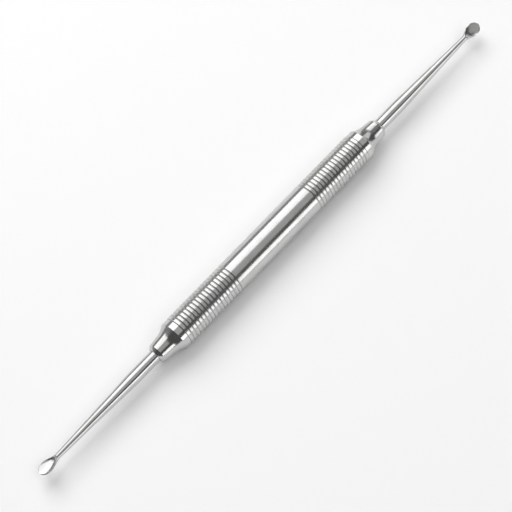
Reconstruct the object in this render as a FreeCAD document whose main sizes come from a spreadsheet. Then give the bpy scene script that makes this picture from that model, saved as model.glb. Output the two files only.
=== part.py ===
import FreeCAD, Part
import math
import os

import Sketcher

# A double-ended surgical curette lying on a table: a ring-grooved hollow handle, a turned cap pressed
# into each end of it, and a tapered shank with a small spoon held in each cap.
# +X runs along the handle, +Z is up and the spoons face up. The origin is on the table, below the
# middle of the handle. Everything is in millimetres.

# The driving sizes: the word that names each one, its value, and what it measures.
SIZES = [
    ("overall_length", 182.0, "from the tip of one spoon to the tip of the other"),
    ("handle_diameter", 9.5, "outside of the handle tube"),
    ("handle_wall", 1.0, "wall of the hollow handle tube"),
    ("tube_length", 74.0, "handle tube between the two caps"),
    ("groove_pitch", 1.21, "from one ring groove to the next"),
    ("groove_count", 17, "ring grooves in each grip"),
    ("groove_width", 0.62, "ring groove at the surface of the tube"),
    ("groove_depth", 0.27, "ring groove below the surface of the tube"),
    ("seam_bevel", 0.15, "bevel on both edges of the seam between tube and cap"),
    ("fit_clearance", 0.02, "gap all round between a pressed piece and its seat"),
    ("spigot_length", 7.0, "part of the cap that sits inside the tube"),
    ("spigot_lead", 0.4, "bevel that starts the spigot in the tube"),
    ("band_diameter", 9.3, "smooth band of the cap beside the seam"),
    ("band_length", 2.1, "smooth band of the cap, from the seam to its crisp edge"),
    ("cap_length", 9.5, "visible cap, from the seam to the end of its nose"),
    ("flare_length", 2.9, "hollow flare between the band and the nose"),
    ("flare_radius", 4.8, "radius of the hollow flare"),
    ("throat_diameter", 6.8, "nose where the flare ends"),
    ("nose_diameter", 6.0, "nose where its end begins to round"),
    ("nose_round", 0.8, "radius round the end of the nose"),
    ("mouth_bevel", 0.2, "bevel at the mouth of the bore in the nose"),
    ("shank_diameter", 3.8, "straight part of the shank, and its tang in the bore"),
    ("tang_length", 8.0, "part of the shank inside the cap"),
    ("tang_lead", 0.3, "bevel at the inner end of the tang"),
    ("bore_spare", 0.5, "room left in the bore behind the tang"),
    ("straight_length", 8.5, "straight shank outside the nose, before the taper starts"),
    ("neck_diameter", 1.62, "thin end of the taper, where the spoon begins"),
    ("neck_step", 0.01, "fine step where the turned neck meets the forged spoon"),
    ("spoon_length", 6.8, "spoon from the neck to its tip"),
    ("spoon_width", 3.8, "spoon across its widest place"),
    ("spoon_depth", 1.15, "back of the spoon below the line of its widest place"),
    ("spoon_lift", 0.25, "how far that line lies above the middle of the shank"),
    ("belly_setback", 2.75, "widest place of the spoon, back from its tip"),
    ("face_height", 0.45, "ground face at the tip, above the middle of the shank"),
    ("rim_width", 0.32, "ground rim round the hollow"),
    ("hollow_depth", 0.95, "hollow of the spoon below the ground face"),
    ("hollow_setback", 0.8, "start of the hollow, on from the neck"),
]

# Sections that carry the shape of the spoon: steps from the neck to the belly, the angles of a
# quarter ellipse from the belly to the tip, and the points that each oval section passes through.
ROOT_STEPS = 5
TIP_ANGLES = (22.5, 45.0, 65.0, 80.0)
OVAL_POINTS = 12

doc = FreeCAD.newDocument("curette")
sheet = doc.addObject("Spreadsheet::Sheet", "Sizes")
for row, (alias, number, meaning) in enumerate(SIZES, start=1):
    sheet.set(f"A{row}", meaning)
    sheet.set(f"B{row}", str(number))
    sheet.setAlias(f"B{row}", alias)
doc.recompute()

# Places along +X that several pieces share, worked out from the driving sizes.
SEAM = "Sizes.tube_length / 2"
NOSE_END = f"{SEAM} + Sizes.cap_length"
TIP = "Sizes.overall_length / 2"
NECK = f"{TIP} - Sizes.spoon_length"
HANDLE_RADIUS = "Sizes.handle_diameter / 2"
TUBE_BORE = f"{HANDLE_RADIUS} - Sizes.handle_wall"
SHANK_RADIUS = "Sizes.shank_diameter / 2"
NECK_RADIUS = "Sizes.neck_diameter / 2"

# Which way an arc of a profile bends, on the way round the profile with its solid side to the right.
HOLLOW = 1
ROUND = -1


def value(expression):
    """The number that an expression in the sheet's words gives now."""
    return float(sheet.evalExpression(expression.replace("Sizes.", "")))


def arc_between(start, end, radius, bend):
    """A short arc between two points: HOLLOW has its centre to the left of the way, ROUND to the right."""
    chord = end - start
    half = chord.Length / 2
    aside = FreeCAD.Vector(-chord.y, chord.x, 0).normalize() * bend
    centre = (start + end) / 2 + aside * math.sqrt(max(radius * radius - half * half, 0.0))
    return Part.Arc(start, centre - aside * radius, end)


def profile(body, name, corners):
    """A closed profile in the body's XZ plane: x along the handle, y as the radius.

    A corner is its x and y, and for an arc to the next corner also the arc's radius and its bend."""
    sketch = body.newObject("Sketcher::SketchObject", name)
    plane = next(f for f in body.Origin.OriginFeatures if f.Role == "XZ_Plane")
    sketch.AttachmentSupport = [(plane, "")]
    sketch.MapMode = "FlatFace"
    points = [FreeCAD.Vector(value(corner[0]), value(corner[1]), 0) for corner in corners]
    for index, (corner, start) in enumerate(zip(corners, points)):
        end = points[(index + 1) % len(points)]
        if len(corner) > 2:
            sketch.addGeometry(arc_between(start, end, value(corner[2]), corner[3]), False)
        else:
            sketch.addGeometry(Part.LineSegment(start, end), False)
    starts = [start_vertex(sketch, index, point) for index, point in enumerate(points)]
    for index, corner in enumerate(corners):
        before = (index - 1) % len(corners)
        joint = Sketcher.Constraint("Coincident", before, 3 - starts[before], index, starts[index])
        sketch.addConstraint(joint)
        pin(sketch, "DistanceX", index, starts[index], corner[0])
        pin(sketch, "DistanceY", index, starts[index], corner[1])
        if len(corner) > 2:
            number = sketch.addConstraint(Sketcher.Constraint("Radius", index, value(corner[2])))
            sketch.setExpression(f"Constraints[{number}]", corner[2])
    return sketch


def start_vertex(sketch, index, point):
    """Which end of a piece of the profile, 1 or 2, lies at the point: arcs may run either way."""
    near = [sketch.getPoint(index, end).distanceToPoint(point) for end in (1, 2)]
    return 1 if near[0] < near[1] else 2


def pin(sketch, kind, index, end, expression):
    """Holds one coordinate of a corner at what the expression gives."""
    if expression == "0":
        axis = -2 if kind == "DistanceX" else -1
        sketch.addConstraint(Sketcher.Constraint("PointOnObject", index, end, axis))
        return
    rule = Sketcher.Constraint(kind, -1, 1, index, end, value(expression))
    number = sketch.addConstraint(rule)
    sketch.setExpression(f"Constraints[{number}]", expression)


def turned(body, name, sketch):
    """The solid that a profile sweeps when it turns once about the handle's axis."""
    feature = body.newObject("PartDesign::Revolution", name)
    feature.Profile = sketch
    feature.ReferenceAxis = (sketch, ["H_Axis"])
    feature.Angle = 360
    body.Tip = feature
    return feature


def lay_on_table(piece, turn):
    """Lifts a piece so that the handle touches the table, turned about +Z for the other end."""
    piece.Placement = FreeCAD.Placement(FreeCAD.Vector(), FreeCAD.Rotation(FreeCAD.Vector(0, 0, 1), turn))
    piece.setExpression("Placement.Base.z", HANDLE_RADIUS)


def handle_tube():
    """The hollow tube: smooth in the middle, with a grip of turned ring grooves towards each end."""
    body = doc.addObject("PartDesign::Body", "handle_tube")
    bevel = "Sizes.seam_bevel"
    wall = profile(body, "tube_wall", [
        (f"-({SEAM})", TUBE_BORE),
        (SEAM, TUBE_BORE),
        (SEAM, f"{HANDLE_RADIUS} - {bevel}"),
        (f"{SEAM} - {bevel}", HANDLE_RADIUS),
        (f"{bevel} - ({SEAM})", HANDLE_RADIUS),
        (f"-({SEAM})", f"{HANDLE_RADIUS} - {bevel}"),
    ])
    turned(body, "tube_turning", wall)
    for side, away in (("right", 1), ("left", -1)):
        ring_grip(body, side, away)
    lay_on_table(body, 0)
    return body


def ring_grip(body, side, away):
    """One grip: a groove at its inner end, repeated outwards so that the seam follows as the next ring."""
    innermost = f"{away} * ({SEAM} - Sizes.groove_count * Sizes.groove_pitch)"
    inner_edge = f"{innermost} - Sizes.groove_width / 2"
    outer_edge = f"{innermost} + Sizes.groove_width / 2"
    clear = f"{HANDLE_RADIUS} + Sizes.groove_depth"
    cut = profile(body, f"{side}_groove_section", [
        (innermost, f"{HANDLE_RADIUS} - Sizes.groove_depth"),
        (outer_edge, HANDLE_RADIUS),
        (outer_edge, clear),
        (inner_edge, clear),
        (inner_edge, HANDLE_RADIUS),
    ])
    groove = body.newObject("PartDesign::Groove", f"{side}_groove")
    groove.Profile = cut
    groove.ReferenceAxis = (cut, ["H_Axis"])
    groove.Angle = 360
    body.Tip = groove
    doc.recompute()
    grip = body.newObject("PartDesign::LinearPattern", f"{side}_grip")
    grip.Originals = [groove]
    grip.Direction = (cut, ["H_Axis"])
    grip.Reversed = away < 0
    grip.setExpression("Length", "(Sizes.groove_count - 1) * Sizes.groove_pitch")
    grip.setExpression("Occurrences", "Sizes.groove_count")
    body.Tip = grip
    doc.recompute()


def end_cap(label, turn):
    """The turned cap: spigot in the tube, smooth band, hollow flare, tapered nose and a blind bore."""
    body = doc.addObject("PartDesign::Body", label)
    band_radius = "Sizes.band_diameter / 2"
    spigot_radius = f"{TUBE_BORE} - Sizes.fit_clearance"
    spigot_end = f"{SEAM} - Sizes.spigot_length"
    band_end = f"{SEAM} + Sizes.band_length"
    bore_radius = f"{SHANK_RADIUS} + Sizes.fit_clearance"
    bore_end = f"{NOSE_END} - Sizes.tang_length - Sizes.bore_spare"
    section = profile(body, "cap_section", [
        (spigot_end, "0"),
        (spigot_end, f"{spigot_radius} - Sizes.spigot_lead"),
        (f"{spigot_end} + Sizes.spigot_lead", spigot_radius),
        (SEAM, spigot_radius),
        (SEAM, f"{band_radius} - Sizes.seam_bevel"),
        (f"{SEAM} + Sizes.seam_bevel", band_radius),
        (band_end, band_radius, "Sizes.flare_radius", HOLLOW),
        (f"{band_end} + Sizes.flare_length", "Sizes.throat_diameter / 2"),
        (f"{NOSE_END} - Sizes.nose_round", "Sizes.nose_diameter / 2", "Sizes.nose_round", ROUND),
        (NOSE_END, "Sizes.nose_diameter / 2 - Sizes.nose_round"),
        (NOSE_END, f"{bore_radius} + Sizes.mouth_bevel"),
        (f"{NOSE_END} - Sizes.mouth_bevel", bore_radius),
        (bore_end, bore_radius),
        (bore_end, "0"),
    ])
    turned(body, "cap_turning", section)
    lay_on_table(body, turn)
    return body


def shank(name):
    """The round stock of a working end: tang, straight part and one long taper to the neck."""
    body = doc.addObject("PartDesign::Body", name)
    tang_end = f"{NOSE_END} - Sizes.tang_length"
    section = profile(body, "shank_section", [
        (tang_end, "0"),
        (tang_end, f"{SHANK_RADIUS} - Sizes.tang_lead"),
        (f"{tang_end} + Sizes.tang_lead", SHANK_RADIUS),
        (f"{NOSE_END} + Sizes.straight_length", SHANK_RADIUS),
        (NECK, NECK_RADIUS),
        (NECK, "0"),
    ])
    turned(body, "shank_turning", section)
    return body


def oval(x, half_width, half_height, height):
    """A closed smooth oval across the shank, with its middle at a height."""
    turns = [2 * math.pi * number / OVAL_POINTS for number in range(OVAL_POINTS)]
    points = [
        FreeCAD.Vector(x, half_width * math.cos(turn), height + half_height * math.sin(turn))
        for turn in turns
    ]
    curve = Part.BSplineCurve()
    curve.interpolate(points, PeriodicFlag=True)
    return Part.Wire(curve.toShape())


def spoon_blank():
    """The forged spoon before grinding: round at the neck, wide and low at the belly, closed at the tip."""
    neck, tip = value(NECK), value(TIP)
    neck_radius = value(f"{NECK_RADIUS} - Sizes.neck_step")
    setback = value("Sizes.belly_setback")
    half_width = value("Sizes.spoon_width / 2")
    depth = value("Sizes.spoon_depth")
    lift = value("Sizes.spoon_lift")
    belly = tip - setback
    sections = []
    for step in range(ROOT_STEPS + 1):
        part = step / ROOT_STEPS
        swell = (1 - math.cos(math.pi * part)) / 2
        sections.append(oval(
            neck + (belly - neck) * part,
            neck_radius + (half_width - neck_radius) * swell,
            neck_radius + (depth - neck_radius) * swell,
            lift * swell,
        ))
    for angle in TIP_ANGLES:
        turn = math.radians(angle)
        reach, shrink = math.sin(turn), math.cos(turn)
        sections.append(oval(belly + setback * reach, half_width * shrink, depth * shrink, lift))
    sections.append(Part.Vertex(tip, 0, lift))
    return Part.makeLoft(sections, True)


def face_slope(x):
    """Height of the ground face above the middle of the shank: it starts at the top of the neck."""
    root = value(NECK) + value("Sizes.hollow_setback") / 2
    share = (x - root) / (value(TIP) - root)
    top = value(NECK_RADIUS)
    return top + (value("Sizes.face_height") - top) * share


def ground_away():
    """What grinding the face takes off: a block above the sloping face, wider than the spoon."""
    start = value(NECK) + value("Sizes.hollow_setback") / 2
    end = value(TIP) + value("Sizes.spoon_depth")
    reach = value("Sizes.spoon_width")
    top = value("Sizes.handle_diameter")
    corners = [
        FreeCAD.Vector(start, -reach, face_slope(start)),
        FreeCAD.Vector(end, -reach, face_slope(end)),
        FreeCAD.Vector(end, -reach, top),
        FreeCAD.Vector(start, -reach, top),
    ]
    side = Part.Face(Part.makePolygon(corners + corners[:1]))
    return side.extrude(FreeCAD.Vector(0, 2 * reach, 0))


def spoon_hollow():
    """What is cut out of the spoon: pointed towards the neck, round at the tip, even all round the rim."""
    rim = value("Sizes.rim_width")
    root = value(NECK) + value("Sizes.hollow_setback")
    setback = value("Sizes.belly_setback")
    belly = value(TIP) - setback
    half_width = value("Sizes.spoon_width / 2") - rim
    depth = value("Sizes.hollow_depth")
    sections = [Part.Vertex(root, 0, face_slope(root))]
    for step in range(1, ROOT_STEPS + 1):
        part = step / ROOT_STEPS
        swell = math.sin(math.pi / 2 * part)
        x = root + (belly - root) * part
        sections.append(oval(x, half_width * swell, depth * swell, face_slope(x)))
    for angle in TIP_ANGLES:
        turn = math.radians(angle)
        shrink = math.cos(turn)
        x = belly + (setback - rim) * math.sin(turn)
        sections.append(oval(x, half_width * shrink, depth * shrink, face_slope(x)))
    end = belly + setback - rim
    sections.append(Part.Vertex(end, 0, face_slope(end)))
    return Part.makeLoft(sections, True)


def shaped(name, shape):
    """A tool or blank that no ready-made feature gives, kept as a plain shape."""
    feature = doc.addObject("Part::Feature", name)
    feature.Shape = shape
    return feature


def working_end(label, turn):
    """One forged and turned piece: shank and spoon in one, ground flat on top and hollowed."""
    forging = doc.addObject("Part::Fuse", f"{label}_forging")
    forging.Base = shank(f"{label}_shank")
    forging.Tool = shaped(f"{label}_blank", spoon_blank())
    ground = doc.addObject("Part::Cut", f"{label}_ground")
    ground.Base = forging
    ground.Tool = shaped(f"{label}_grinding", ground_away())
    finished = doc.addObject("Part::Cut", label)
    finished.Base = ground
    finished.Tool = shaped(f"{label}_hollow", spoon_hollow())
    lay_on_table(finished, turn)
    return finished


pieces = [
    handle_tube(),
    end_cap("end_cap_right", 0),
    end_cap("end_cap_left", 180),
    working_end("spoon_end_right", 0),
    working_end("spoon_end_left", 180),
]
doc.recompute()

for thing in doc.Objects:
    if "Invalid" in thing.State or "Error" in thing.State:
        raise RuntimeError(f"{thing.Label} did not recompute: {thing.State}")
os.makedirs("parts", exist_ok=True)
for piece in pieces:
    if piece.Shape.isNull() or not piece.Shape.isValid():
        raise RuntimeError(f"{piece.Label} is not a valid solid")
    box = piece.Shape.BoundBox
    print(
        f"{piece.Label}: {len(piece.Shape.Solids)} solid, {piece.Shape.Volume:.1f} mm3,"
        f" x {box.XMin:.2f} to {box.XMax:.2f}, z {box.ZMin:.2f} to {box.ZMax:.2f}"
    )
    piece.Shape.exportStep(f"parts/{piece.Label}.step")
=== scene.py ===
import math
from collections import namedtuple

import bmesh
import bpy
from mathutils import Matrix, Vector


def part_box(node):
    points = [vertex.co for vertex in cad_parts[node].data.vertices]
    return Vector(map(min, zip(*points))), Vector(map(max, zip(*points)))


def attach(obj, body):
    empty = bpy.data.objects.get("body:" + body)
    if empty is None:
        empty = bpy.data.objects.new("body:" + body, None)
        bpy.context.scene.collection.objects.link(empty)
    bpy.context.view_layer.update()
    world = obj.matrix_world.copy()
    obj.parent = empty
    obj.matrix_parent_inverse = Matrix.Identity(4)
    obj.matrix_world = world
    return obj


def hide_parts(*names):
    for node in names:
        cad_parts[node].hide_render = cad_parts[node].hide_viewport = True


# %% [markdown]
# The tool arrives already built to size: five solids from the CAD model, each a named node on the one
# rigid body. They are only read here, for their sizes and places. Finer pieces then take their places,
# cut to the same lines, so that what is seen and what is simulated stay one tool.

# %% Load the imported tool
MM = 0.001

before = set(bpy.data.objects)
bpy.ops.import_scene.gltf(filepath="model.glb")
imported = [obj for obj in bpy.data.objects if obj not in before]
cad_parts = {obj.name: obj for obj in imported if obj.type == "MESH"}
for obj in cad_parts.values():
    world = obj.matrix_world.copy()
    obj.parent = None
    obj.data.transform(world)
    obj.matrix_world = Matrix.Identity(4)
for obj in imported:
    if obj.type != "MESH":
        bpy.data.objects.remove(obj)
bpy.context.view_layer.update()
print("nodes:", sorted(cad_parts))

# %% [markdown]
# This is a double-ended surgical curette: a hollow steel handle with ring-grooved grips, a turned cap
# pressed into each end, and in each cap a tapered shank that ends in a small sharp spoon. Every visible
# piece was turned, forged or ground, so the whole look is the look of worked steel.
#
# The big sizes could be typed in again, but they are read from the loaded nodes, so they can't drift
# from the CAD model. Fine ones, such as a groove's depth, are written in millimetres because that is how
# a turner would say them. X runs along the handle, Z is up, and every turned piece shares one axis.

# %% Sizes of the tool, in millimetres
def box_mm(node):
    """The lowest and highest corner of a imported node, in millimetres."""
    low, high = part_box(node)
    return low / MM, high / MM


tube_low, tube_high = box_mm("handle_tube")
spoon_low, spoon_high = box_mm("spoon_end_right")
HANDLE_RADIUS = (tube_high.z - tube_low.z) / 2
AXIS_HEIGHT = (tube_high.z + tube_low.z) / 2
SEAM = tube_high.x
TIP = spoon_high.x
print("handle radius", round(HANDLE_RADIUS, 3), "seam at", round(SEAM, 2), "tip at", round(TIP, 2))

# %% [markdown]
# A lathe makes a round piece by moving a tool along turning stock. The same idea builds its mesh: each
# point of a profile becomes a ring of vertices about the axis, and neighbouring rings are joined with
# faces. A point on the axis stays one single vertex. Blender's Screw modifier could do this too, but
# rings written by hand keep every face a clean quad, and polished steel only mirrors a room without
# ripples where the quads are clean.

# %% Rings about the axis
TURN_STEPS = 128


def place(x, y, z, turn):
    """A point in metres from one in millimetres about the axis, turned half round for the left end."""
    return Vector((x * turn, y * turn, z + AXIS_HEIGHT)) * MM


def ring(mesh, x, radius, turn):
    """The vertices of one circle about the axis, or one vertex where the radius is nothing."""
    if radius == 0:
        return [mesh.verts.new(place(x, 0, 0, turn))]
    angles = [math.tau * step / TURN_STEPS for step in range(TURN_STEPS)]
    return [mesh.verts.new(place(x, radius * math.cos(a), radius * math.sin(a), turn)) for a in angles]


def join_rings(mesh, first, second):
    """Faces between two neighbouring rings: quads, or a fan where one ring is a single vertex."""
    steps = max(len(first), len(second))
    if steps == 1:
        return
    for step in range(steps):
        after = (step + 1) % steps
        corners = [first[step % len(first)], first[after % len(first)]]
        corners += [second[after % len(second)], second[step % len(second)]]
        mesh.faces.new(list(dict.fromkeys(corners)))


print("a facet of the handle is", round(math.tau * HANDLE_RADIUS / TURN_STEPS, 2), "mm wide")

# %% [markdown]
# A turned piece is then one closed profile, from (place along the axis, radius) points, joined up ring by
# ring. On real turned work every corner stays crisp and every curve runs smooth. Weighted normals could
# show that, but marking the sharp edges is enough here. The limit is a low 15 degrees, because a crisp
# edge between two long smooth faces would otherwise smear its shading across both of them.

# %% The lathe
SHARP_EDGE = math.radians(15)


def finished_piece(name, mesh):
    """Turns a bmesh into an object with outward faces, smooth but for its real edges."""
    bmesh.ops.recalc_face_normals(mesh, faces=mesh.faces)
    data = bpy.data.meshes.new(name)
    mesh.to_mesh(data)
    mesh.free()
    data.shade_smooth()
    data.set_sharp_from_angle(angle=SHARP_EDGE)
    piece = bpy.data.objects.new(name, data)
    bpy.context.scene.collection.objects.link(piece)
    print(name, "has", sum(len(face.vertices) - 2 for face in data.polygons), "triangles")
    return piece


def lathe(name, profile, turn=1):
    """A turned piece from a closed profile of (x, radius) points, in millimetres."""
    mesh = bmesh.new()
    rings = [ring(mesh, x, radius, turn) for x, radius in profile]
    for first, second in zip(rings, rings[1:] + rings[:1]):
        join_rings(mesh, first, second)
    return finished_piece(name, mesh)


# %% [markdown]
# The turner cut seventeen ring grooves into each end of the handle so that wet gloves don't slip. The
# ribs between them keep the skin of the tube, so they stay flat and bright. The form tool has a rounded
# nose, so a groove eases in and out and has no sharp floor.
#
# A bump in the material could draw the grooves, but it would leave the outline of the grip straight.
# So they are cut into the profile, and one period of a cosine gives the rounded form of each.

# %% Grooves of a grip
GROOVE_PITCH = 1.21
GROOVE_COUNT = 17
GROOVE_DEPTH = 0.17
GROOVE_WIDTH = 0.54
GROOVE_STEPS = 8


def grip_profile(side):
    """Profile points of one grip, from its inner end outwards for side 1 and inwards for side -1."""
    points = []
    for groove in range(GROOVE_COUNT, 0, -1):
        middle = SEAM - groove * GROOVE_PITCH
        for step in range(GROOVE_STEPS + 1):
            share = step / GROOVE_STEPS
            cut = GROOVE_DEPTH * (1 - math.cos(math.tau * share)) / 2
            points.append((side * (middle + GROOVE_WIDTH * (share - 0.5)), HANDLE_RADIUS - cut))
    return points[::side]


print("each grip is", round(GROOVE_COUNT * GROOVE_PITCH, 2), "mm long")

# %% [markdown]
# The handle is a length of steel tube, 9.5 mm across, smooth in its middle. It could be a solid bar, as
# the bore can't be seen, but the real one is a tube because a light tool tires the hand less. Its two
# end corners are broken by a fine bevel, and that draws the seam where a cap meets it.

# %% Handle tube
HANDLE_WALL = 1.0
SEAM_BEVEL = 0.15

tube_bore = HANDLE_RADIUS - HANDLE_WALL
handle = lathe("turned_handle", [
    (-SEAM, tube_bore),
    (-SEAM, HANDLE_RADIUS - SEAM_BEVEL),
    (-SEAM + SEAM_BEVEL, HANDLE_RADIUS),
    *grip_profile(-1),
    *grip_profile(1),
    (SEAM - SEAM_BEVEL, HANDLE_RADIUS),
    (SEAM, HANDLE_RADIUS - SEAM_BEVEL),
    (SEAM, tube_bore),
])
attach(handle, "root")
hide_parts("handle_tube")

# %% [markdown]
# Each cap was turned from bar: a short smooth band that carries on the line of the handle, then a
# hollow flare with a crisp edge where it starts, then a slim tapered nose that rounds over to the bore
# for the shank. The spigot that holds it in the tube and the blind bore are part of the same profile.
#
# The curves could be splines, but a turner sweeps arcs, so arcs they are. The centre of an arc is worked
# out from its two ends and its radius.

# %% An arc of a turned profile
ARC_STEPS = 20


def arc(start, end, radius, bend):
    """Points along a short arc from start to end. Bend 1 has its centre to the left of the way."""
    start, end = Vector(start), Vector(end)
    chord = end - start
    aside = Vector((-chord.y, chord.x)).normalized() * bend
    centre = (start + end) / 2 + aside * math.sqrt(radius ** 2 - (chord.length / 2) ** 2)
    turn = (start - centre).angle_signed(end - centre)
    points = []
    for step in range(ARC_STEPS + 1):
        spoke = (start - centre).copy()
        spoke.rotate(Matrix.Rotation(-turn * step / ARC_STEPS, 2))
        points.append(tuple(centre + spoke))
    return points


print("an arc has", ARC_STEPS + 1, "points")

# %% [markdown]
# The flare and the nose are what the eye reads as the cap. The centre of the flare's arc lies outside
# the metal, which makes it hollow, and it runs into the nose with no edge, as a turner's sweep does. The
# nose is rounded flatter than a full quarter circle, and that flat turn away from the eye is the dark
# ring round the shank.

# %% Flare and nose of a cap
BAND_RADIUS = 4.65
BAND_LENGTH = 2.1
CAP_LENGTH = 9.5
FLARE_LENGTH = 3.5
FLARE_RADIUS = 8.1
THROAT_RADIUS = 3.34
NOSE_RADIUS = 3.0
NOSE_ROUND = 0.8
NOSE_ROUND_LENGTH = 1.0
NOSE_ROUND_RADIUS = 4.0

nose_end = SEAM + CAP_LENGTH
band_end = SEAM + BAND_LENGTH
flare_end = band_end + FLARE_LENGTH
flare = arc((band_end, BAND_RADIUS), (flare_end, THROAT_RADIUS), FLARE_RADIUS, 1)
nose_corners = (nose_end - NOSE_ROUND_LENGTH, NOSE_RADIUS), (nose_end, NOSE_RADIUS - NOSE_ROUND)
nose = arc(*nose_corners, NOSE_ROUND_RADIUS, -1)
print("flare ends at", round(flare_end, 2), "and nose at", round(nose_end, 2))

# %% [markdown]
# The rest of the profile is the hidden fit: a spigot with a lead that finds its way into the tube, and
# a blind bore for the shank's tang. It could be left out of the picture, but then the cap would be a
# shell that ends at the seam. One profile serves both caps, because the turner made two alike.

# %% End caps
SHANK_RADIUS = 1.9
MOUTH_BEVEL = 0.2
SPIGOT_LENGTH = 7.0
SPIGOT_LEAD = 0.4
FIT = 0.02
TANG_LENGTH = 8.0
BORE_SPARE = 0.5
EDGE_BREAK = 0.05
ENDS = (("right", 1), ("left", -1))

spigot_end = SEAM - SPIGOT_LENGTH
spigot_radius = tube_bore - FIT
bore_radius = SHANK_RADIUS + FIT
bore_end = nose_end - TANG_LENGTH - BORE_SPARE
cap_profile = [
    (spigot_end, 0),
    (spigot_end, spigot_radius - SPIGOT_LEAD),
    (spigot_end + SPIGOT_LEAD, spigot_radius),
    (SEAM, spigot_radius),
    (SEAM, BAND_RADIUS - SEAM_BEVEL),
    (SEAM + SEAM_BEVEL, BAND_RADIUS),
    (band_end - EDGE_BREAK, BAND_RADIUS),
    *flare[1:],
    *nose,
    (nose_end, bore_radius + MOUTH_BEVEL),
    (nose_end - MOUTH_BEVEL, bore_radius),
    (bore_end, bore_radius),
    (bore_end, 0),
]
caps = []
for side, turn in ENDS:
    cap = lathe(f"turned_cap_{side}", cap_profile, turn)
    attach(cap, "root")
    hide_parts(f"end_cap_{side}")
    caps.append(cap)

# %% [markdown]
# A working end is one piece of steel. The smith turned the shank down to a thin neck and forged the end
# of it into a small oval paddle with a rounded back. It could be sculpted from a sphere, but a smith's
# eye judges it by its sections, and so does this mesh: each section is an oval that swells from the
# neck to the belly and closes at the tip. The middle of the ovals lifts a little, as the paddle does.

# %% Forged blank of a spoon
NECK_RADIUS = 0.81
SPOON_LENGTH = 6.8
SPOON_HALF_WIDTH = 1.9
SPOON_DEPTH = 1.15
SPOON_LIFT = 0.25
BELLY_SETBACK = 2.75
NECK = TIP - SPOON_LENGTH
BELLY = TIP - BELLY_SETBACK


def forged_oval(x):
    """Half width, half height and middle height of the forged spoon before grinding."""
    if x < BELLY:
        swell = (1 - math.cos(math.pi * (x - NECK) / (BELLY - NECK))) / 2
        width = NECK_RADIUS + (SPOON_HALF_WIDTH - NECK_RADIUS) * swell
        height = NECK_RADIUS + (SPOON_DEPTH - NECK_RADIUS) * swell
        return width, height, SPOON_LIFT * swell
    shrink = math.sqrt(max(1 - ((x - BELLY) / BELLY_SETBACK) ** 2, 0))
    return SPOON_HALF_WIDTH * shrink, SPOON_DEPTH * shrink, SPOON_LIFT


print("spoon", SPOON_LENGTH, "mm long and", 2 * SPOON_HALF_WIDTH, "mm wide")

# %% [markdown]
# Then the grinder took over: the top was ground flat on a slope and hollowed with a small burr, steep at
# the root and shallow towards the tip. A boolean cut could do that to the blank, but it would leave
# ragged triangles along the rim, which polished steel shows at once. So the height of the face and the
# size of the hollow are given by formula at each place along the spoon.
#
# The two spoons were ground by hand, so one was left a little deeper, and each was pressed in a few
# degrees off level. The handle stays where it lies: only the working end is rolled in its bore. A sweep
# of 1 gives a face with an even slope, and a larger one keeps it level and sweeps it up at the neck.

# %% Ground face and hollow
FACE_TIP_HEIGHT = 0.45
FACE_SETBACK = 0.4
HOLLOW_SETBACK = 0.8
RIM_WIDTH = 0.25
ROOT_WALL = 2.0
HOLLOW_FULLNESS = 0.7
FACE_START = NECK + FACE_SETBACK
HOLLOW_START = NECK + HOLLOW_SETBACK
HOLLOW_END = TIP - RIM_WIDTH

Grind = namedtuple("Grind", "roll_degrees hollow_depth sweep")
GRINDS = {
    "right": Grind(roll_degrees=14.5, hollow_depth=0.17, sweep=1),
    "left": Grind(roll_degrees=9, hollow_depth=0.28, sweep=6),
}


def face_height(x, grind):
    """Height of the ground face above the middle of the shank."""
    share = (x - FACE_START) / (TIP - FACE_START)
    return FACE_TIP_HEIGHT + (NECK_RADIUS - FACE_TIP_HEIGHT) * (1 - share) ** grind.sweep


def hollow_size(x, grind):
    """Half width and depth of the hollow at a place along the spoon."""
    if x <= HOLLOW_START or x >= HOLLOW_END:
        return 0.0, 0.0
    if x < BELLY:
        share = (x - HOLLOW_START) / (BELLY - HOLLOW_START)
        widening = math.sin(math.pi / 2 * share) ** HOLLOW_FULLNESS
    else:
        widening = math.sqrt(1 - ((x - BELLY) / (HOLLOW_END - BELLY)) ** 2)
    if x < HOLLOW_START + ROOT_WALL:
        deepening = math.sin(math.pi / 2 * (x - HOLLOW_START) / ROOT_WALL)
    else:
        deepening = 1 - ((x - HOLLOW_START - ROOT_WALL) / (HOLLOW_END - HOLLOW_START - ROOT_WALL)) ** 2
    return (SPOON_HALF_WIDTH - RIM_WIDTH) * widening, grind.hollow_depth * deepening


for side, grind in GRINDS.items():
    print(side, "face is", round(face_height(BELLY, grind), 2), "mm up at the belly")

# %% [markdown]
# Last, the outer edge of the rim was polished to a fine bevel, which is the thin dark line round the
# bowl. The Bevel modifier could round it, but it would round the face's root as well. Here the back of
# the spoon simply stops a little below the face, and the sloping strip between the two is the bevel.

# %% Edge of the ground face
RIM_BEVEL = 0.2
BEVEL_SHARE = 0.3
BEVEL_SLOPE = 0.6


def cut_angle(x, grind, drop=0.0):
    """Angle on the forged oval where a cut below the ground face meets it, or a quarter turn."""
    height, middle = forged_oval(x)[1:]
    lift = face_height(x, grind) - drop - middle
    if x <= FACE_START or lift >= height:
        return math.pi / 2
    return math.asin(lift / height)


def rim(x, grind):
    """Half width of the ground face and the width of its polished bevel."""
    edge = forged_oval(x)[0] * math.cos(cut_angle(x, grind))
    return edge, min(RIM_BEVEL, BEVEL_SHARE * edge)


print("rim at the belly of the right spoon:", [round(size, 2) for size in rim(BELLY, GRINDS["right"])])

# %% [markdown]
# A whole section goes once round: down one side of the back and up the other, then across the bevel,
# the rim and the hollow. All ground sections have the same count of points, so they join into clean
# strips of quads. A hollow that has no width yet keeps a sliver of one, so that no two points meet.

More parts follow.
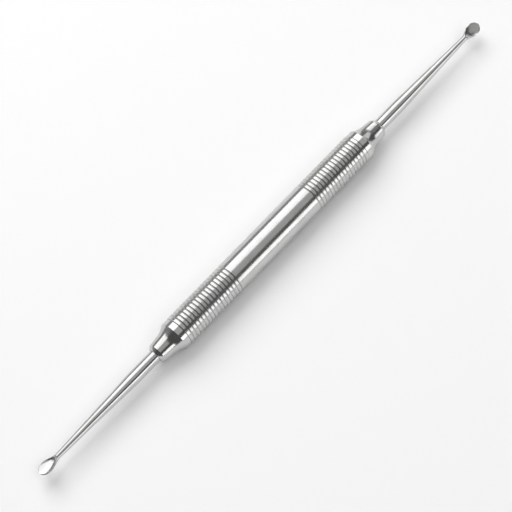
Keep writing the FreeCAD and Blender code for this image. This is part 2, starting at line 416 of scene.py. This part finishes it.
# %% Sections of the spoon
BACK_STEPS = 64
HOLLOW_STEPS = 28
NARROW_HOLLOW = 0.03
RIM_SLIVER = 0.01


def back_points(x, grind):
    """The forged back of the spoon, from one side of the ground face down and round to the other."""
    width, height, middle = forged_oval(x)
    cut = cut_angle(x, grind)
    if cut < math.pi / 2:
        cut = cut_angle(x, grind, rim(x, grind)[1] * BEVEL_SLOPE)
    points = []
    for step in range(BACK_STEPS + 1):
        angle = cut - (math.pi + 2 * cut) * step / BACK_STEPS
        points.append((x, width * math.cos(angle), middle + height * math.sin(angle)))
    return points


def face_points(x, grind):
    """The ground rim and the hollow between the two edges of the back, without those edges."""
    edge, bevel = rim(x, grind)
    level = face_height(x, grind)
    half, depth = hollow_size(x, grind)
    half = max(half, edge * NARROW_HOLLOW)
    bowl = []
    for step in range(HOLLOW_STEPS + 1):
        angle = math.pi * step / HOLLOW_STEPS
        bowl.append((half * math.cos(angle), depth * math.sin(angle) ** 2))
    inner_edge = max(edge - bevel, half + RIM_SLIVER * edge)
    across = [(inner_edge, 0.0)] + bowl + [(-inner_edge, 0.0)]
    return [(x, -y, level - down) for y, down in across]


print("a ground section has", BACK_STEPS + HOLLOW_STEPS + 4, "points")

# %% [markdown]
# The sections stand close together where the form turns fast: at the start of the grinding, at the end
# of the hollow and at the tip. Even steps would be simpler, but they would need five times as many to
# give as round a tip.

# %% Places of the sections
SPOON_STEPS = 56
ROOT_CROWDING = 1.5
HOLLOW_LIP = 0.004


def spoon_places():
    """Places of the sections along the spoon, closer together where its form turns fastest."""
    share = [step / SPOON_STEPS for step in range(SPOON_STEPS + 1)]
    to_face = [NECK + (FACE_START - NECK) * part for part in (0, 0.5, 1)]
    to_hollow = [FACE_START + (HOLLOW_START - FACE_START) * part for part in (0.1, 0.25, 0.5, 0.75, 1)]
    to_belly = [HOLLOW_START + (BELLY - HOLLOW_START) * part ** ROOT_CROWDING for part in share[1:]]
    to_tip = [BELLY + BELLY_SETBACK * math.sin(math.pi / 2 * part) for part in share[1:-1]]
    at_hollow_end = [HOLLOW_END - HOLLOW_LIP, HOLLOW_END]
    return sorted(set(to_face + to_hollow + to_belly + to_tip + at_hollow_end))


print("sections along a spoon:", len(spoon_places()))

# %% [markdown]
# The shank is plain turning: a tang that hides in the cap, a straight length and a long even taper down
# to the neck. It could be a turned piece of its own, but on the real tool it is one with the spoon, and
# a joint would show as a line. So its circles go into the same chain of sections as the spoon's.

# %% Corners of the shank
STRAIGHT_LENGTH = 8.5
TANG_LEAD = 0.3
TAPER_STEPS = 24

tang_start = nose_end - TANG_LENGTH
taper_start = nose_end + STRAIGHT_LENGTH
shank_corners = [
    (tang_start, SHANK_RADIUS - TANG_LEAD),
    (tang_start + TANG_LEAD, SHANK_RADIUS),
    (nose_end, SHANK_RADIUS),
    (taper_start, SHANK_RADIUS),
]
for step in range(1, TAPER_STEPS):
    share = step / TAPER_STEPS
    radius = SHANK_RADIUS + (NECK_RADIUS - SHANK_RADIUS) * share
    shank_corners.append((taper_start + (NECK - taper_start) * share, radius))
print("the taper is", round(NECK - taper_start, 2), "mm long")

# %% [markdown]
# Most neighbouring sections match point for point and join as rings do. Only where the grinding starts
# does a plain circle meet a ground section. The circle could be given the same count of points, stacked
# on its top, but that makes faces with no area. So the extra points fan out from the circle's top.

# %% Faces between two sections
def join_strips(mesh, first, second):
    """Faces between two sections. A ground section has more points than an uncut one next to it."""
    if len(first) == len(second) or min(len(first), len(second)) == 1:
        join_rings(mesh, first, second)
        return
    uncut, ground = sorted((first, second), key=len)
    for step in range(BACK_STEPS):
        after = (step + 1) % BACK_STEPS
        mesh.faces.new((uncut[step], uncut[after], ground[step + 1], ground[step]))
    top = ground[BACK_STEPS:] + ground[:1]
    for left, right in zip(top, top[1:]):
        mesh.faces.new((uncut[0], left, right))


print("the fan where the grinding starts has", HOLLOW_STEPS + 4, "faces")

# %% [markdown]
# Now a working end is one walk along the steel, from the hidden end of the tang to the tip. Each section
# is rolled about the line of the handle on the way. The finished object could be rotated instead, but a
# piece's place is in its mesh here, so that it always lies where the simulated body is.

# %% Working ends: tang, shank and spoon in one
def section(x, grind):
    """The points once round the spoon at a place along it, ground or not."""
    if cut_angle(x, grind) < math.pi / 2:
        return back_points(x, grind) + face_points(x, grind)
    return back_points(x, grind)[:-1]


def working_end(name, turn, grind):
    """One working end, from the inner end of its tang to the tip of its spoon."""
    mesh = bmesh.new()
    roll = math.radians(grind.roll_degrees)
    lean, rise = math.sin(roll), math.cos(roll)

    def rolled(x, y, z):
        return mesh.verts.new(place(x, y * rise - z * lean, y * lean + z * rise, turn))

    strips = [[rolled(tang_start, 0, 0)]]
    angles = [math.pi / 2 - math.tau * step / BACK_STEPS for step in range(BACK_STEPS)]
    for x, radius in shank_corners:
        strips.append([rolled(x, radius * math.cos(a), radius * math.sin(a)) for a in angles])
    for x in spoon_places():
        strips.append([rolled(*point) for point in section(x, grind)])
    strips.append([rolled(TIP, 0, SPOON_LIFT)])
    for first, second in zip(strips, strips[1:]):
        join_strips(mesh, first, second)
    return finished_piece(name, mesh)


spoon_ends = []
for side, turn in ENDS:
    spoon_end = working_end(f"forged_spoon_end_{side}", turn, GRINDS[side])
    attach(spoon_end, "root")
    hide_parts(f"spoon_end_{side}")
    spoon_ends.append(spoon_end)

# %% [markdown]
# Colours are written as hex codes, the way a paint chart or a web page gives them. Blender works in
# linear light, so one function turns a code into that. Nodes could be set and joined one line at a time,
# but then a finish is lost among them. So one helper adds a node, sets what it is told to and joins its
# inputs, and each call reads as one layer of the finish.

# %% Colour and node helpers
def linear(code):
    """The linear colour of an sRGB hex value such as #c8c8c6."""
    channels = [int(code[start:start + 2], 16) / 255 for start in (1, 3, 5)]
    curve = [c / 12.92 if c <= 0.04045 else ((c + 0.055) / 1.055) ** 2.4 for c in channels]
    return (*curve, 1.0)


def add(tree, kind, settings=None, links=None):
    """Adds a node, sets its properties and inputs, and joins the inputs in links to outputs.

    An input goes by its name, or by its number where several share one name.
    """
    node = tree.nodes.new(kind)
    for name, value in (settings or {}).items():
        if isinstance(name, str) and hasattr(node, name):
            setattr(node, name, value)
        else:
            node.inputs[name].default_value = value
    for name, output in (links or {}).items():
        tree.links.new(output, node.inputs[name])
    return node


def empty_tree(owner):
    """The node tree of a material or world, with nothing in it yet."""
    owner.use_nodes = True
    owner.node_tree.nodes.clear()
    return owner.node_tree


print("a mid grey such as #bcbcbc is", round(linear("#bcbcbc")[0], 3), "in linear light")

# %% [markdown]
# All the metal is austenitic stainless steel, the kind that instruments are made of. It is a neutral
# grey with a breath of warmth, and nearly all that the eye reads on it is reflection, so the finish
# decides the look. One colour all over would look like paint. Real steel carries a thin film from
# handling, in faint patches some 5 mm across that are greyer and duller, so a soft noise of that size
# sets both the colour and the roughness.

# %% Film of handling
PATCH_SIZE = 5.0
FILM_EDGES = {"From Min": 0.38, "From Max": 0.64}
CLEANER = 0.015
DULLER = 0.03
STEEL_COLOUR = "#c7c7c6"
DULL_STEEL_COLOUR = "#c1c1bf"
SMOOTH = {"interpolation_type": "SMOOTHSTEP"}


def film_of_handling(tree, spot, roughness):
    """Colour and roughness of steel with faint duller patches."""
    patches = add(tree, "ShaderNodeTexNoise", {"Scale": 1 / (PATCH_SIZE * MM), "Detail": 4.0},
                  {"Vector": spot})
    film = add(tree, "ShaderNodeMapRange", {**SMOOTH, **FILM_EDGES}, {"Value": patches.outputs["Fac"]})
    colour = add(tree, "ShaderNodeMix",
                 {"data_type": "RGBA", 6: linear(STEEL_COLOUR), 7: linear(DULL_STEEL_COLOUR)},
                 {0: film.outputs[0]})
    dullness = add(tree, "ShaderNodeMapRange",
                   {"To Min": roughness - CLEANER, "To Max": roughness + DULLER},
                   {"Value": film.outputs[0]})
    return colour.outputs[2], dullness.outputs[0]


print("film patches of", PATCH_SIZE, "mm")

# %% [markdown]
# Two places on the steel differ from the rest. Edges are rubbed bright by cloths and trays, and the
# floors of the grooves are out of reach of the polishing wheel, so they stay duller and greyer. Masks
# could be painted by hand, but the form itself tells where they lie: the mesh's own pointiness finds
# the edges, and the distance from the axis finds the floors. Each mask lays its own colour and an added
# roughness over the steel.

# %% Worn edges and groove floors
WORN_EDGE_COLOUR = "#d8d8d6"
WORN_EDGES = {"From Min": 0.52, "From Max": 0.6}
WORN_EDGE_ROUGHER = -0.05
GROOVE_FLOOR_COLOUR = "#b8b8b6"
GROOVE_FLOOR_ROUGHER = 0.1


def worn_edges(tree):
    """Mask of the edges that are rubbed bright."""
    pointiness = add(tree, "ShaderNodeNewGeometry").outputs["Pointiness"]
    return add(tree, "ShaderNodeMapRange", {**SMOOTH, **WORN_EDGES}, {"Value": pointiness}).outputs[0]


def groove_floors(tree, split, depth):
    """Mask of steel that lies as deep under the skin of the handle as a groove's floor."""
    skin = HANDLE_RADIUS * MM
    across = add(tree, "ShaderNodeCombineXYZ", links={"Y": split.outputs["Y"], "Z": split.outputs["Z"]})
    from_axis = add(tree, "ShaderNodeVectorMath", {"operation": "DISTANCE", 1: (0, 0, AXIS_HEIGHT * MM)},
                    {0: across.outputs[0]})
    return add(tree, "ShaderNodeMapRange",
               {**SMOOTH, "From Min": skin - depth * MM, "From Max": skin, "To Min": 1.0, "To Max": 0.0},
               {"Value": from_axis.outputs["Value"]}).outputs[0]


def laid_over(tree, steel_look, mask, colour, rougher):
    """Colour and roughness of steel with another colour and an added roughness where the mask says."""
    new_colour = add(tree, "ShaderNodeMix", {"data_type": "RGBA", 7: linear(colour)},
                     {0: mask, 6: steel_look[0]})
    new_roughness = add(tree, "ShaderNodeMath", {"operation": "MULTIPLY_ADD", 1: rougher},
                        {0: mask, 2: steel_look[1]})
    return new_colour.outputs[2], new_roughness.outputs[0]


print("worn edges", WORN_EDGE_COLOUR, "and groove floors", GROOVE_FLOOR_COLOUR)

# %% [markdown]
# The finest layer is what tools and use leave on the skin:
#
# - The lathe tool leaves rings. Real rings are 0.06 mm apart, too fine for the picture, so they are
#   drawn 0.3 mm apart.
# - Trays and cleaning brushes leave hairlines along the tool. Real ones are 0.02 mm wide, and they are
#   drawn 0.2 mm wide and very shallow.
#
# Both are far too shallow to model, so bump nodes tilt the light instead, one on top of the other.

# %% Lathe rings and hairlines
RING_PITCH = 0.3
HAIRLINE_WIDTH = 0.2
HAIRLINE_LENGTH = 14.0
HAIRLINE_DEPTH = 0.0012


def turned_skin(tree, spot, split, ring_depth):
    """Normal of steel with the rings of the lathe and the hairlines of use."""
    along = add(tree, "ShaderNodeMath", {"operation": "MULTIPLY", 1: 1 / (RING_PITCH * MM)},
                {0: split.outputs["X"]})
    rings = add(tree, "ShaderNodeTexNoise", {"noise_dimensions": "1D", "Scale": 1.0, "Detail": 3.0},
                {"W": along.outputs[0]})
    turned = add(tree, "ShaderNodeBump", {"Distance": ring_depth * MM}, {"Height": rings.outputs["Fac"]})
    thin = 1 / (HAIRLINE_WIDTH * MM)
    hair = add(tree, "ShaderNodeMapping", {"Scale": (1 / (HAIRLINE_LENGTH * MM), thin, thin)},
               {"Vector": spot})
    hairlines = add(tree, "ShaderNodeTexNoise", {"Scale": 1.0, "Detail": 2.0},
                    {"Vector": hair.outputs[0]})
    scratched = add(tree, "ShaderNodeBump", {"Distance": HAIRLINE_DEPTH * MM},
                    {"Height": hairlines.outputs["Fac"], "Normal": turned.outputs["Normal"]})
    return scratched.outputs["Normal"]


print("rings", RING_PITCH, "mm apart and hairlines", HAIRLINE_WIDTH, "mm wide")

# %% [markdown]
# The layers come together in one metal surface. Rings tilt the light along the axis and not across it,
# so a reflection is crisp across the handle and drawn out along it. Bump alone would need rings too fine
# to render, so the surface is anisotropic as well. Its tangent runs round the axis, and a quarter turn
# from there lays the stretch along it.

# %% Turned and polished stainless steel
STRETCH_TURN = 0.25


def steel(name, roughness, stretch, ring_depth, groove_depth=0.0):
    """Worked stainless steel. Where groove_depth isn't 0, steel that far under the skin is dull."""
    material = bpy.data.materials.new(name)
    tree = empty_tree(material)
    spot = add(tree, "ShaderNodeTexCoord").outputs["Object"]
    split = add(tree, "ShaderNodeSeparateXYZ", links={0: spot})
    look = film_of_handling(tree, spot, roughness)
    look = laid_over(tree, look, worn_edges(tree), WORN_EDGE_COLOUR, WORN_EDGE_ROUGHER)
    if groove_depth:
        floors = groove_floors(tree, split, groove_depth)
        look = laid_over(tree, look, floors, GROOVE_FLOOR_COLOUR, GROOVE_FLOOR_ROUGHER)
    tangent = add(tree, "ShaderNodeTangent", {"direction_type": "RADIAL", "axis": "X"})
    surface = add(tree, "ShaderNodeBsdfPrincipled",
                  {"Metallic": 1.0, "Anisotropic": stretch, "Anisotropic Rotation": STRETCH_TURN},
                  {"Base Color": look[0], "Roughness": look[1],
                   "Normal": turned_skin(tree, spot, split, ring_depth),
                   "Tangent": tangent.outputs["Tangent"]})
    add(tree, "ShaderNodeOutputMaterial", links={"Surface": surface.outputs["BSDF"]})
    print(name, "roughness", roughness, "with", len(tree.nodes), "nodes")
    return material


# %% [markdown]
# The handle was finished with a fine abrasive while it turned, so it is satin: a soft sheen with tight
# rings. The caps and the working ends were polished further, because they meet tissue and have to come
# clean, so they mirror the room more sharply and their rings are shallower. One steel in two finishes is
# nearer to the real tool than two separate materials would be.

# %% Finishes on the pieces
satin_turned_steel = steel("satin_turned_stainless_steel", roughness=0.21, stretch=0.3,
                           ring_depth=0.004, groove_depth=GROOVE_DEPTH)
polished_steel = steel("polished_stainless_steel", roughness=0.165, stretch=0.2, ring_depth=0.002)
handle.data.materials.append(satin_turned_steel)
for piece in caps + spoon_ends:
    piece.data.materials.append(polished_steel)

# %% [markdown]
# The tool lies on a wide sheet of matt white paper. It could curve up behind the tool, as in a studio,
# but seen from above a flat sheet does the same. It is far wider than the picture, so it has no edge in
# view and no horizon in the steel. Paper has a fibre grain about 0.5 mm long. It is drawn as a very
# small change of tone, because the photographer's light is soft enough to hide nearly all of it.

# %% Paper sheet
SHEET_REACH = 4.0
FIBRE_LENGTH = 0.5

sheet_data = bpy.data.meshes.new("paper_sheet")
sheet_data.from_pydata(
    [(-SHEET_REACH, -SHEET_REACH, 0), (SHEET_REACH, -SHEET_REACH, 0),
     (SHEET_REACH, SHEET_REACH, 0), (-SHEET_REACH, SHEET_REACH, 0)], [], [(0, 1, 2, 3)])
sheet = bpy.data.objects.new("paper_sheet", sheet_data)
bpy.context.scene.collection.objects.link(sheet)
paper = bpy.data.materials.new("matt_white_paper")
tree = empty_tree(paper)
fibres = add(tree, "ShaderNodeTexNoise", {"Scale": 1 / (FIBRE_LENGTH * MM), "Detail": 2.0},
             {"Vector": add(tree, "ShaderNodeTexCoord").outputs["Object"]})
tone = add(tree, "ShaderNodeMix", {"data_type": "RGBA", 6: linear("#fafafa"), 7: linear("#fcfcfc")},
           {0: fibres.outputs["Fac"]})
matt = add(tree, "ShaderNodeBsdfDiffuse", links={"Color": tone.outputs[2]})
add(tree, "ShaderNodeOutputMaterial", links={"Surface": matt.outputs["BSDF"]})
sheet_data.materials.append(paper)
print("paper sheet", 2 * SHEET_REACH, "m wide")

# %% [markdown]
# A softbox is a bright, evenly lit rectangle, and an area lamp is just that. Each stands one metre from
# the tool and faces it. It could be set by its place and three turns, but a photographer thinks of how
# far it leans over to one side and how far along the tool it stands, so those two are given instead.

# %% A softbox
AIM = Vector((0.0, 0.0, AXIS_HEIGHT * MM))


def stand(thing, spot, run, rise, back):
    """Stands a lamp or camera at a spot, with its width along run, its height along rise."""
    thing.matrix_world = Matrix.Translation(spot) @ Matrix((run, rise, back)).transposed().to_4x4()
    bpy.context.scene.collection.objects.link(thing)


def softbox(name, side_angle, along, length, width, level):
    """A softbox 1 m off, turned side_angle degrees from overhead towards -Y. Level is its brightness."""
    data = bpy.data.lights.new(name, "AREA")
    data.shape = "RECTANGLE"
    data.size = length
    data.size_y = width
    data.energy = level * math.pi * length * width
    lamp = bpy.data.objects.new(name, data)
    tilt = math.radians(side_angle)
    across = math.sqrt(1 - along ** 2)
    away = Vector((along, -across * math.sin(tilt), across * math.cos(tilt)))
    run = (Vector((1, 0, 0)) - away * away.x).normalized()
    stand(lamp, AIM + away, run, away.cross(run), away)
    print(name, "of", length, "by", width, "m at level", level)
    return lamp


# %% [markdown]
# Steel shows whatever stands round it, so a photographer lights it with cards and softboxes and reads
# them off the metal. Each one below is a bright band that can be found on the handle: two key softboxes
# side by side make the broad upper band, a strip makes the narrow lower one, a dim card overhead makes
# the grey between them, and a card beyond the right end makes the light patch on the right flare. The
# gaps between them are the dark lines.
#
# The paper needs other light than the steel does: one softbox for the shadow and one wide soft fill. One
# set of lamps for both would tie the shadow to the bands. So those two are kept out of the reflections,
# and the softboxes for the steel are kept off the paper.

# %% Softboxes
for_the_steel = [
    softbox("outer_key_softbox", side_angle=-50.5, along=0.17, length=1.16, width=0.34, level=1.75),
    softbox("inner_key_softbox", side_angle=-26, along=0.17, length=1.16, width=0.53, level=1.5),
    softbox("strip_softbox", side_angle=71.5, along=0.17, length=1.16, width=0.45, level=1.7),
    softbox("overhead_card", side_angle=10, along=0.21, length=0.9, width=0.83, level=0.42),
    softbox("end_card", side_angle=-5, along=0.9, length=0.6, width=0.5, level=0.88),
]
for_the_paper = [
    softbox("shadow_softbox", side_angle=-37, along=0.15, length=0.9, width=0.9, level=3.25),
    softbox("fill_softbox", side_angle=20, along=0.0, length=1.0, width=1.0, level=1.38),
]
for lamp in for_the_steel:
    lamp.visible_diffuse = False
for lamp in for_the_paper:
    lamp.visible_glossy = False

# %% [markdown]
# The rest of the room is dim, and it matters as much as the lamps, because it draws every dark line on
# the steel. Behind the tool, towards +Y, the room glows a little. Low down a pale wall stands all round
# except past the two ends, where the flares of the caps look, and so they stay dark. Walls could be
# built as meshes, but a world that changes with direction reflects the same and casts no shadow.

# %% Dim room
WALL_LEVEL = 0.5
WALL_TOP = {"From Min": 0.04, "From Max": 0.16}
LEFT_END = {"From Min": -0.5, "From Max": 0.1}
RIGHT_END = {"From Min": 0.5, "From Max": 0.75}
RIGHT_END_LEFT_OVER = 0.1
BEHIND = {"From Min": 0.1, "From Max": 0.7}
NEAR_GLOW = 0.1
FAR_GLOW = 0.3

world = bpy.data.worlds.new("dim_studio")
bpy.context.scene.world = world
tree = empty_tree(world)
way = add(tree, "ShaderNodeSeparateXYZ", links={0: add(tree, "ShaderNodeTexCoord").outputs["Generated"]})
low_wall = add(tree, "ShaderNodeMapRange", {**SMOOTH, **WALL_TOP, "To Min": WALL_LEVEL, "To Max": 0.0},
               {"Value": way.outputs["Z"]})
left_end = add(tree, "ShaderNodeMapRange", {**SMOOTH, **LEFT_END}, {"Value": way.outputs["X"]})
right_end = add(tree, "ShaderNodeMapRange",
                {**SMOOTH, **RIGHT_END, "To Min": 1.0, "To Max": RIGHT_END_LEFT_OVER},
                {"Value": way.outputs["X"]})
between = add(tree, "ShaderNodeMath", {"operation": "MULTIPLY"},
              {0: left_end.outputs[0], 1: right_end.outputs[0]})
glow = add(tree, "ShaderNodeMapRange", {**SMOOTH, **BEHIND, "To Min": NEAR_GLOW, "To Max": FAR_GLOW},
           {"Value": way.outputs["Y"]})
level = add(tree, "ShaderNodeMath", {"operation": "MULTIPLY_ADD"},
            {0: low_wall.outputs[0], 1: between.outputs[0], 2: glow.outputs[0]})
room = add(tree, "ShaderNodeBackground", {"Color": (1, 1, 1, 1)}, {"Strength": level.outputs[0]})
add(tree, "ShaderNodeOutputWorld", links={"Surface": room.outputs["Background"]})
print("room glows from", NEAR_GLOW, "to", FAR_GLOW, "and its wall adds", WALL_LEVEL)

# %% [markdown]
# The picture was taken from half a metre away, from above and a little to the left, with the camera
# rolled so that the tool runs from corner to corner. A lens that long keeps both ends nearly the same
# size, as a product photograph does. It could be aimed with a Track To constraint, but that can't hold
# the roll. The numbers were fitted to the tool's outline: its two tips, its seams and the width of the
# handle.

# %% Camera
CAMERA_DISTANCE = 0.515
CAMERA_ELEVATION = math.radians(65)
CAMERA_SIDE = math.radians(41.9)
CAMERA_ROLL = math.radians(45.80)
CAMERA_AIM = Vector((-6.56, -0.745, AXIS_HEIGHT)) * MM
FOCAL_PIXELS = 1862
PICTURE_PIXELS = 512
SENSOR_WIDTH = 36.0

camera_data = bpy.data.cameras.new("camera")
camera = bpy.data.objects.new("camera", camera_data)
level_reach = math.cos(CAMERA_ELEVATION)
back = Vector((-math.sin(CAMERA_SIDE) * level_reach, -math.cos(CAMERA_SIDE) * level_reach,
               math.sin(CAMERA_ELEVATION)))
run = (Vector((1, 0, 0)) - back * back.x).normalized()
rise = back.cross(run)
right = run * math.cos(CAMERA_ROLL) - rise * math.sin(CAMERA_ROLL)
up = run * math.sin(CAMERA_ROLL) + rise * math.cos(CAMERA_ROLL)
stand(camera, CAMERA_AIM + back * CAMERA_DISTANCE, right, up, back)
camera_data.sensor_width = SENSOR_WIDTH
camera_data.lens = FOCAL_PIXELS * SENSOR_WIDTH / PICTURE_PIXELS
camera_data.clip_start = 0.01
camera_data.clip_end = 20.0
bpy.context.scene.camera = camera
bpy.context.scene.view_settings.view_transform = "Standard"
print("lens", round(camera_data.lens, 1), "mm at", CAMERA_DISTANCE, "m")
